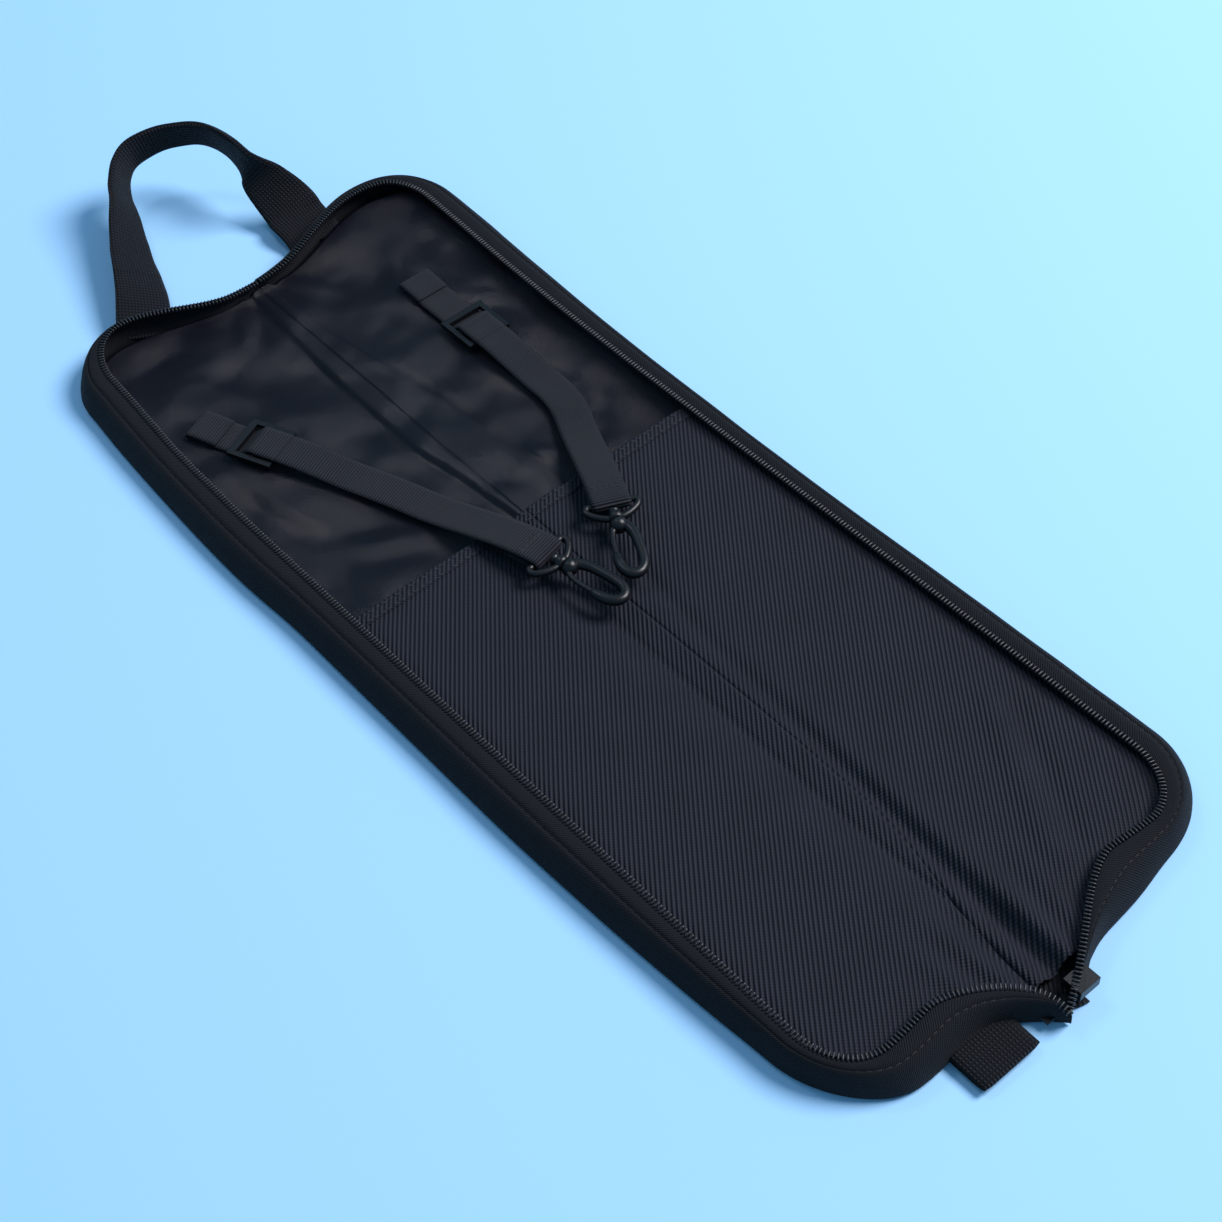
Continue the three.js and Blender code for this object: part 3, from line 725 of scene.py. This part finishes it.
def make_hem(side, name):
    """The folded hem along the pocket's mouth, with its two rows of stitches."""
    reach = REACH - HEM_INSET
    across = side * np.linspace(0, reach, 90)
    profile = [(-5.4, -0.1), (-5.0, 0.45), (-4.2, 0.35), (-2.5, 0.6), (-0.8, 0.35), (0.1, 0.5),
               (0.7, 0.1), (0.7, -0.9), (0.0, -1.3)]
    grid = np.array([[(x, MOUTH_Y + dy, panel_at(x, MOUTH_Y + min(dy, 0)) + dz) for dy, dz in profile]
                     for x in across])
    piece = sheet_piece(f"{name}_hem_strip", grid, HEM_THICKNESS, plan_uv(grid), OXFORD)
    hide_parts(f"{name}_pocket_hem")
    across_fold(piece, side, name)
    rows = [stitch_line([(x, y, panel_at(x, y) + 0.52) for x in across])
            for y in (MOUTH_Y - 4.3, MOUTH_Y - 0.9)]
    stitches = join_pieces(f"{name}_hem_stitches", rows)
    across_fold(stitches, side, name)


def place_at(points, at, distance):
    """The point at a distance along a resampled line."""
    return np.array([np.interp(distance, at, points[:, k]) for k in range(3)])


def add_bead(verts, faces, centre, long_side, wide_side, high_side, profile, sides):
    """Adds a small closed body to growing lists; profile is (place, size) along its length."""
    base = len(verts)
    turn = np.linspace(0, 2 * np.pi, sides, endpoint=False)
    for a, k in profile:
        for q in turn:
            verts.append(centre + a * long_side + k * math.cos(q) * wide_side + k * math.sin(q) * high_side)
    faces += closed_faces(len(profile), sides, base)


def stitch_line(line, length=2.3, gap=0.7, radius=0.22):
    """A row of stitches along a line, as one object."""
    points, at = resample(line, 0.25)
    profile = [(-0.5, 0.15), (-0.38, 0.9), (0.0, 1.0), (0.38, 0.9), (0.5, 0.15)]
    verts, faces = [], []
    for c in np.arange(length, at[-1] - length, length + gap):
        middle, ahead = place_at(points, at, c), place_at(points, at, c + 0.5)
        along = unit(ahead - middle)
        across = unit(np.cross(UP, along))
        rise = np.cross(along, across)
        add_bead(verts, faces, middle, along * length, across * radius, rise * radius, profile, 6)
    return make_piece("stitches", verts, faces, material=THREAD)


# ---------- side wall, zip and piping ----------

# The wall and tape in section: share of the way from base edge to rim, share of rim height
WALL_SECTION = [
    (0.10, 0.02), (0.00, 0.03), (-0.02, 0.12), (0.00, 0.26), (0.06, 0.45), (0.15, 0.66), (0.27, 0.85),
    (0.38, 0.95), (0.46, 0.98), (0.49, 0.92), (0.52, 0.99), (0.64, 1.02), (0.80, 1.00), (0.93, 0.98),
    (1.00, 0.94), (0.98, 0.87), (0.85, 0.86), (0.60, 0.88), (0.42, 0.82), (0.28, 0.66), (0.18, 0.45),
    (0.13, 0.25),
]
GROOVE = WALL_SECTION[9]
# How far each point of the section is set inwards besides, so that the foot reaches under the cover
FOOT = [3.0] + [0.0] * (len(WALL_SECTION) - 3) + [1.0, 2.5]
EDGE_STEP = 2.2


def wall_point(side, s, share, height, above):
    """A point part of the way from the wall's foot to the rim, at a share of the rim's height."""
    base, rim = base_point(side, s), rim_point(side, s)
    x, y = base + (rim[:2] - base) * share
    return x, y, rim[2] * height + above


def wall_rings(side):
    """The wall's section carried round a half's edge with slow ripples, and its cloth coordinates."""
    stations = np.minimum(np.arange(0, EDGE + EDGE_STEP, EDGE_STEP), EDGE)
    rings, uvs = [], []
    section = np.array(WALL_SECTION)
    for s in stations:
        base, rim = base_point(side, s), rim_point(side, s)
        ring = base[None, :] + (rim[:2] - base)[None, :] * section[:, :1]
        inwards = np.subtract(outline(s, 10.0), outline(s, 0.0)) / 10 * (side, 1)
        ring += inwards[None, :] * np.array(FOOT)[:, None]
        ripple = 0.3 * wander(base[0], base[1], 16.0, 5.0) + 0.3 * wander(base[0], base[1], 45.0, 6.0)
        z = section[:, 1] * rim[2] + 0.25 + ripple * np.sin(np.pi * section[:, 1])
        rings.append(np.column_stack([ring, z]))
        spans = np.hypot(np.diff(section[:, 0]) * RIM_INSET, np.diff(section[:, 1]) * rim[2])
        uvs.append(np.column_stack([np.full(len(section), s), np.r_[0, np.cumsum(spans)]]) * MM)
    return np.array(rings), np.array(uvs)


def make_wall(side, name):
    """The slanting side wall with the zip tape that turns in at its top."""
    rings, uvs = wall_rings(side)
    piece = loft_piece(f"{name}_side_wall", rings, TAPE, uvs)
    nodes = [f"{name}_gusset", f"{name}_zip_tape"]
    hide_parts(*with_spine(side, nodes, ["bottom_end_wall", "bottom_lip_tape"]))
    across_fold(piece, side, name)


TOOTH_PITCH = 1.5
TOOTH_LENGTH = 2.7
TOOTH_HALF_WIDTH = 0.46
TOOTH_HALF_HEIGHT = 0.85


def make_teeth(side, name):
    """The coil's teeth: small rounded loops across the rim."""
    line, at = resample([rim_point(side, s) for s in np.linspace(0, EDGE, 900)], 0.5)
    verts, faces = [], []
    profile = [(-0.5, 0.35), (-0.42, 0.85), (-0.15, 1.0), (0.2, 0.95), (0.42, 1.1), (0.5, 0.5)]
    for c in np.arange(TOOTH_PITCH, at[-1], TOOTH_PITCH):
        along = unit(place_at(line, at, c + 1.0) - place_at(line, at, c - 1.0))
        inwards = unit(np.cross(UP, along)) * side
        rise = np.cross(along, inwards) * side
        centre = place_at(line, at, c) + inwards * 0.55 + np.array([0, 0, 0.1])
        add_bead(verts, faces, centre, inwards * TOOTH_LENGTH, along * TOOTH_HALF_WIDTH,
                 rise * TOOTH_HALF_HEIGHT, profile, 8)
    piece = make_piece(f"{name}_zip_teeth", verts, faces, material=TEETH)
    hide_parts(*with_spine(side, [f"{name}_zip_coil"], ["bottom_lip_coil"]))
    across_fold(piece, side, name)


def make_wall_stitches(side, name):
    """The seam that joins tape to wall, sunk in its groove."""
    line = [wall_point(side, s, GROOVE[0], GROOVE[1], 0.42) for s in np.linspace(16, EDGE - 2, 600)]
    piece = stitch_line(line, 2.4, 0.8, 0.2)
    piece.name = f"{name}_wall_stitches"
    across_fold(piece, side, name)


TAB_END = 56.0      # the bound seam stops short of the webbing tab
SEAM_HEIGHT = 4.8
SEAM_RADIUS = 0.9
SEAM_SIDES = 8


def make_piping(side, name):
    """The bound seam allowance that runs inside the wall's foot."""
    path = [wall_point(side, s, 0.34, 0.0, SEAM_HEIGHT)
            for s in np.linspace(TAB_END, EDGE - FOLD_START - 2, 260)]
    rings = tube_rings(path, SEAM_RADIUS, SEAM_SIDES)
    along, around = np.arange(len(rings)) * 2.2 * MM, np.linspace(0, 5 * MM, SEAM_SIDES)
    uvs = np.stack(np.meshgrid(along, around, indexing="ij"), axis=2)
    piece = loft_piece(f"{name}_bound_seam", rings, TAPE, uvs)
    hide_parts(f"{name}_seam_binding")
    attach(piece, f"{name}_half")


# ---------- handle and bottom tab ----------

# The handle webbing's middle line, its lean on edge in degrees and its width. The grip is folded
# double, so it is narrower and thicker than the ends.
HANDLE_LINE = [
    [-50, 215.5, 3, 4, 24], [-47, 221.3, 5, 14, 23], [-37.9, 236.8, 8, 24, 22],
    [-28, 259.2, 10, 36, 19.5], [-18.2, 277.7, 14, 52, 17.5], [-13.2, 288.2, 17, 64, 16],
    [-7, 295.9, 20, 76, 15], [1.9, 299.2, 23, 84, 14], [13.2, 295.5, 26, 90, 13],
    [24.5, 286.9, 28, 96, 13], [30.5, 276.4, 28, 98, 13.5], [31.9, 263.5, 27, 92, 15],
    [32.2, 253.4, 24, 78, 17], [35.9, 246, 16, 48, 21], [38.5, 238, 9.4, 24, 24],
    [38.4, 232, 7, 6, 25], [38.4, 223, 4.8, 2, 25], [37.6, 216.5, 3, 0, 25],
]
HANDLE_THICKNESS = 1.7
LEFT_JOIN = 2.4         # spans along HANDLE_LINE where the loop meets each sewn end
RIGHT_JOIN = 13.0
JOIN_OVERLAP = 0.1


def webbing_section(points, rounding, power):
    """Webbing cut across: (place from -1 to 1, height from -1 to 1) round its rounded edges."""
    stops = np.linspace(-1, 1, points)
    over = [(v, 1 - rounding * abs(v) ** power) for v in stops]
    return over + [(v, -w) for v, w in over[::-1]]


def webbing_piece(name, centre, across, half_w, half_t, section, material, wave=0.0):
    """Webbing along a line, with its direction across and half sizes at each point, and wavy edges."""
    face = np.cross(unit(np.gradient(centre, axis=0)), across)
    rings, uvs = [], []
    for c, a, f, w, t, at in zip(centre, across, face, half_w, half_t, path_lengths(centre)):
        ripple = wave * math.sin(at * 0.35 + 0.8)
        rings.append([c + a * v * w + f * (h * t + ripple * v * v) for v, h in section])
        uvs.append([(at * MM, v * w * MM) for v, h in section])
    return loft_piece(name, np.array(rings), material, np.array(uvs))


def handle_piece(name, first, last):
    """The handle's webbing from one span count of its line to another."""
    dense, spans = spline(HANDLE_LINE, 24), len(HANDLE_LINE) - 1
    start, end = int(first / spans * (len(dense) - 1)), int(last / spans * (len(dense) - 1))
    part = dense[start:end + 1]
    centre, lean, width = part[:, :3], np.radians(part[:, 3:4]), part[:, 4]
    along = unit(np.gradient(centre, axis=0))
    flat_side = unit(np.cross(UP, along))
    across = np.cos(lean) * flat_side + np.sin(lean) * np.cross(along, flat_side)
    half_t = HANDLE_THICKNESS / 2 * (1 + 0.8 * smooth((21 - width) / 6))
    return webbing_piece(name, centre, across, width / 2, half_t, webbing_section(15, 0.75, 14), BASKET, 0.15)


def make_handle():
    """The two sewn ends and the loop between them."""
    ends = (("left", 0, LEFT_JOIN + JOIN_OVERLAP), ("right", RIGHT_JOIN, len(HANDLE_LINE) - 1))
    for name, first, last in ends:
        leg = handle_piece(f"{name}_handle_webbing", first, last)
        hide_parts(f"{name}_handle_leg")
        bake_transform(leg)
    loop = handle_piece("handle_webbing_loop", LEFT_JOIN, RIGHT_JOIN + JOIN_OVERLAP)
    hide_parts("handle_loop")
    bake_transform(loop)


def ribbon_piece(name, stations, width, thickness, material, line):
    """Webbing through (along, height) stations; line(along) gives its place in plan and its turn."""
    fine = spline(stations, 6)
    plan = [line(a) for a, _ in fine]
    centre = np.array([(x, y, z) for (x, y, _), (_, z) in zip(plan, fine)])
    across = np.array([(-math.sin(turn), math.cos(turn), 0.0) for _, _, turn in plan])
    half_w, half_t = (np.full(len(fine), size / 2) for size in (width, thickness))
    return webbing_piece(name, centre, across, half_w, half_t, webbing_section(11, 0.7, 12), material)


def make_bottom_tab():
    """A short webbing loop folded on itself, sewn into the bottom seam."""
    low, high = (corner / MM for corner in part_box("bottom_tab"))
    top, foot = high.z - 0.7, low.z + 0.7
    reach = -HALF_LENGTH - low.y - 1.5

    def line(a):
        return (low.x + high.x) / 2, -HALF_LENGTH - a, -math.pi / 2

    stations = [(1.4, top + 0.4), (4, top + 0.4), (reach - 4, top), (reach, (top + foot) / 2 + 0.5),
                (reach - 3, foot), (4, foot - 0.1), (1.6, foot)]
    piece = ribbon_piece("bottom_webbing_loop", stations, 25.0, 1.3, BASKET, line)
    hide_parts("bottom_tab")
    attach(piece, "tab")


# ---------- straps and snap hooks ----------

STRAP_WIDTH = 15.0
STRAP_THICKNESS = 1.1
STRAP_Z = 5.0         # middle of the webbing where it lies on the lining
STRAP_LOW = 6.2       # middle of a strap where it lies lowest between tri-glide and hook
BAR_TOP = 9.0         # middle of the webbing over a tri-glide's bars
BAR_LENGTH = 19.4     # length of a tri-glide
HOOK_Z = 13.8         # middle of a snap hook
EYE_WRAP = 2.0        # radius of the strap's turn round the swivel eye

# Each strap's sewn end and heading, the start of its tri-glide, its length to the eye and its bend
STRAPS = {
    "left": {"anchor": (-61.5, 149.1), "heading": math.radians(-67), "start": 13, "length": 154,
             "bend": math.radians(-10.8), "bend_span": (50, 140)},
    "right": {"anchor": (51.2, 158.4), "heading": math.radians(-90), "start": 24, "length": 158,
              "bend": math.radians(-25.5), "bend_span": (76, 106)},
}


def strap_line(spec, bend):
    """Gives the place in plan and the turn at a distance along a strap."""
    first, last = spec["bend_span"]
    steps = np.arange(0, spec["length"] + 20.0, 0.5)
    turns = spec["heading"] + bend * smooth((steps - first) / (last - first))
    xs = np.r_[0, np.cumsum(np.cos(turns) * 0.5)][:-1]
    ys = np.r_[0, np.cumsum(np.sin(turns) * 0.5)][:-1]
    ax, ay = spec["anchor"]

    def at(a):
        if a < 0:
            return ax + a * math.cos(spec["heading"]), ay + a * math.sin(spec["heading"]), spec["heading"]
        return ax + np.interp(a, steps, xs), ay + np.interp(a, steps, ys), np.interp(a, steps, turns)

    return at


def make_strap(name, spec):
    """One strap: the webbing up to its tri-glide, the webbing on to its hook, and its stitches."""
    start, length = spec["start"], spec["length"]
    still, line = strap_line(spec, 0.0), strap_line(spec, spec["bend"])
    end = start + BAR_LENGTH + 1.0
    anchor = [(-6, STRAP_Z + 0.9), (-2, STRAP_Z + 0.5), (5, STRAP_Z), (start - 2, STRAP_Z), (start + 3, 5.1),
              (start + 8.1, BAR_TOP), (start + 12, BAR_TOP + 0.1), (end - 3, BAR_TOP + 0.1), (end, BAR_TOP)]
    piece = ribbon_piece(f"{name}_anchor_strap", anchor, STRAP_WIDTH, STRAP_THICKNESS, RIBBED, still)
    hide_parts(f"{name}_anchor_webbing")
    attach(piece, f"{name}_anchor")
    first = end + 0.3
    upper = []
    for k in np.linspace(0, 1, int((length - first) / 2.5)):
        sag = (BAR_TOP - STRAP_LOW) * float(smooth(k / 0.3))
        rise = (HOOK_Z + EYE_WRAP - STRAP_LOW) * float(smooth((k - 0.5) / 0.5))
        upper.append((first + (length - first) * k, BAR_TOP - sag + rise))
    turns = [math.pi / 2 - math.pi * k / 5 for k in range(1, 6)]
    wrap = [(length + EYE_WRAP * math.cos(a), HOOK_Z + EYE_WRAP * math.sin(a)) for a in turns]
    back = [(length - 5, HOOK_Z - EYE_WRAP + 0.6), (length - 12, HOOK_Z - EYE_WRAP + 0.4)]
    stations = upper + wrap + back
    piece = ribbon_piece(f"{name}_hook_strap", stations, STRAP_WIDTH, STRAP_THICKNESS, RIBBED, line)
    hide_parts(f"{name}_strap_webbing")
    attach(piece, f"{name}_strap")
    rows = []
    for a in (length - 6.5, length - 8.0):
        x, y, turn = line(a)
        height = np.interp(a, *zip(*upper)) + STRAP_THICKNESS / 2
        row = [(x - math.sin(turn) * t, y + math.cos(turn) * t, height)
               for t in np.linspace(-6.6, 6.6, 12)]
        rows.append(stitch_line(row, 1.8, 0.5, 0.2))
    bar_tack = join_pieces(f"{name}_strap_tack", rows)
    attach(bar_tack, f"{name}_strap")
    make_sewn_end(name, still)


def make_sewn_end(name, line):
    """The strap's sewn end: its webbing folded over on itself, with the raw edge tucked under."""
    stations = [(-8, 3.9), (-4, 4.0), (2, 3.9)]
    piece = ribbon_piece(f"{name}_sewn_end", stations, 17.0, 0.7, RIBBED, line)
    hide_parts(f"{name}_strap_patch")
    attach(piece, f"{name}_half")
    turned = [(5.5, 5.9), (2, 6.3), (-4, 6.6), (-7.2, 6.5), (-8.2, 5.7), (-7.2, 5.1), (-4, 5.0)]
    fold = ribbon_piece(f"{name}_turned_end", turned, STRAP_WIDTH, 0.9, RIBBED, line)
    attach(fold, f"{name}_anchor")


def lathe_rings(profile, sides=20):
    """Rings round the hook's long axis from (along, radius) pairs."""
    turn = np.linspace(0, 2 * np.pi, sides, endpoint=False)
    return np.array([[(a, r * math.cos(q), r * math.sin(q)) for q in turn] for a, r in profile])


def make_hardware(name, spec):
    """The swivel eye, the snap hook and its gate, drawn along X and set down at the strap's end."""
    x, y, heading = strap_line(spec, spec["bend"])(spec["length"])
    c, s = math.cos(heading), math.sin(heading)
    origin = np.array([x, y, HOOK_Z])
    turn = np.array([[c, -s, 0], [s, c, 0], [0, 0, 1]])

    def set_down(piece, body, nodes, title):
        piece.name = f"{name}_{title}"
        piece.data.transform(Matrix(turn.tolist()).to_4x4())
        piece.data.transform(Matrix.Translation(Vector((origin * MM).tolist())))
        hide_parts(*[f"{name}_{n}" for n in nodes])
        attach(piece, f"{name}_{body}")

    bow = [(0, 9.4, 0), (1.6, 10.2, 0), (3.6, 9.2, 0), (6.0, 6.2, 0), (7.4, 3.0, 0)]
    other_bow = [(x, -y, 0) for x, y, _ in bow[::-1]]
    loop = [(0, y, 0) for y in (-9.4, -5, 0, 5)] + bow + [(7.6, 0, 0)] + other_bow
    frame_loop = loft_piece("eye", tube_rings(spline(loop, 6), 1.35, 12), PLASTIC)
    collar = [(5.7, 1.7), (5.6, 2.3), (5.9, 2.8), (7.4, 2.95), (8.9, 2.8), (9.2, 2.3), (9.1, 1.7)]
    ring = loft_piece("collar", lathe_rings(collar), PLASTIC)
    set_down(join_pieces("eye", [frame_loop, ring]), "eye", ["swivel_eye"], "eye_moulding")

    shank = [(3.7, 0.4), (3.8, 1.9), (4.3, 2.3), (5.0, 2.2), (5.5, 1.4), (9.3, 1.4), (9.6, 2.4), (10.3, 3.3),
             (12.0, 3.4), (13.6, 2.6), (14.6, 0.8)]
    neck = loft_piece("neck", lathe_rings(shank), PLASTIC)
    bowl_path = [(11.0, 1.4, 0), (13.4, 3.2, 0), (17, 4.4, 0), (22, 4.7, 0), (28, 4.6, 0), (32.4, 3.9, 0),
                 (35.2, 2.0, 0), (36.1, -0.4, 0), (35.0, -2.8, 0), (32.0, -4.4, 0), (28.6, -4.8, 0),
                 (26.2, -4.7, 0)]
    curve = spline(bowl_path, 8)
    swell = np.interp(np.linspace(0, 1, len(curve)), [0, 0.12, 0.45, 0.7, 0.88, 1.0],
                      [2.3, 2.1, 1.95, 2.1, 2.1, 1.7])
    bowl = loft_piece("bowl", tube_rings(curve, swell, 16, 0.95), PLASTIC)
    set_down(join_pieces("hook", [neck, bowl]), "hook", ["snap_hook"], "hook_moulding")

    gate_curve = spline([(12.8, -2.4, 0), (15, -3.4, 0), (19, -4.2, 0), (26.4, -4.6, 0)], 8)
    width = np.interp(np.linspace(0, 1, len(gate_curve)), [0, 0.3, 1], [1.3, 1.05, 1.15])
    gate = loft_piece("gate", tube_rings(gate_curve, width, 12, 0.9), PLASTIC)
    set_down(gate, "gate", ["hook_gate"], "gate_tongue")


# Edge rounding of the CAD pieces that are kept
KEPT_EDGES = {"left_triglide": 0.7, "right_triglide": 0.7, "zip_slider": 1.2, "slider_pull": 0.5}


def finish_cad_hardware():
    """The tri-glides, the slider and its pull keep their CAD shapes, with moulded edges."""
    for node, width in KEPT_EDGES.items():
        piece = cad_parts[node]
        piece.data.materials.clear()
        piece.data.materials.append(PLASTIC)
        edge = piece.modifiers.new("edge", "BEVEL")
        edge.width = width * MM
        edge.segments = 3
        edge.limit_method = "ANGLE"


# ---------- setting ----------


# The setting is measured in metres
FLOOR_REACH = 4.0
FLOOR_DROP = 0.0004     # keeps the floor clear of the cloth that lies on it
FLOOR_BLUE = (0.38, 0.67, 0.97, 1)
SKY_BLUE = (0.34, 0.7, 1.0, 1)
SKY_STRENGTH = 0.4


def make_floor():
    """The light blue surface under the bag."""
    bpy.ops.mesh.primitive_plane_add(size=2 * FLOOR_REACH, location=(0, 0, -FLOOR_DROP))
    floor = bpy.context.object
    floor.name = "floor"
    paint = Shader("floor", 0.7, specular=0.25)
    paint.shader.inputs["Base Color"].default_value = FLOOR_BLUE
    floor.data.materials.append(paint.material)


def add_area_light(name, place, size, power, colour):
    """A round soft light that faces the bag's middle."""
    light = bpy.data.lights.new(name, "AREA")
    light.shape = "DISK"
    light.size, light.energy, light.color = size, power, colour
    lamp = add_object(name, light)
    lamp.location = place
    lamp.rotation_euler = (-Vector(place)).to_track_quat("-Z", "Y").to_euler()


def make_lights():
    """A blue surround, a large light from the right and a small light beyond the handle."""
    world = bpy.data.worlds.new("studio")
    world.use_nodes = True
    background = world.node_tree.nodes["Background"]
    background.inputs["Color"].default_value = SKY_BLUE
    background.inputs["Strength"].default_value = SKY_STRENGTH
    bpy.context.scene.world = world
    add_area_light("key", (1.95, -0.75, 2.2), 1.5, 112, (1.0, 0.97, 1.0))
    add_area_light("top", (-0.12, 1.0, 1.55), 0.45, 3.2, (0.96, 0.93, 1.0))


# Angles in degrees, the lens and all distances in millimetres
CAMERA = {"azimuth": -38.43, "tilt": 90 - 49.51, "roll": -3.27, "distance": 804.4,
          "target": (-4.72, -24.12), "lens": 64.77}


def make_camera():
    """The camera looks down across the bag, turned a little about its own axis."""
    angles = (("azimuth", "Z"), ("tilt", "X"), ("roll", "Z"))
    around, tilted, rolled = (Matrix.Rotation(math.radians(CAMERA[k]), 4, axis) for k, axis in angles)
    turn = around @ tilted @ rolled
    data = bpy.data.cameras.new("camera")
    data.lens, data.sensor_width = CAMERA["lens"], 36.0
    data.clip_start, data.clip_end = 0.01, 20.0
    place = (Vector((*CAMERA["target"], 0)) + turn.col[2].to_3d() * CAMERA["distance"]) * MM
    camera = add_object("camera", data)
    camera.matrix_world = Matrix.Translation(place) @ turn
    bpy.context.scene.camera = camera


make_camera()
make_floor()
make_lights()
bpy.context.scene.view_settings.view_transform = "Standard"
HALF_PIECES = (make_pad, make_cover, make_lining, make_pocket, make_hem, make_wall, make_teeth,
               make_wall_stitches, make_piping)
for half_name, half_side in (("left", -1), ("right", 1)):
    for make in HALF_PIECES:
        make(half_side, half_name)
make_handle()
make_bottom_tab()
for strap_name, strap_spec in STRAPS.items():
    make_strap(strap_name, strap_spec)
    make_hardware(strap_name, strap_spec)
finish_cad_hardware()
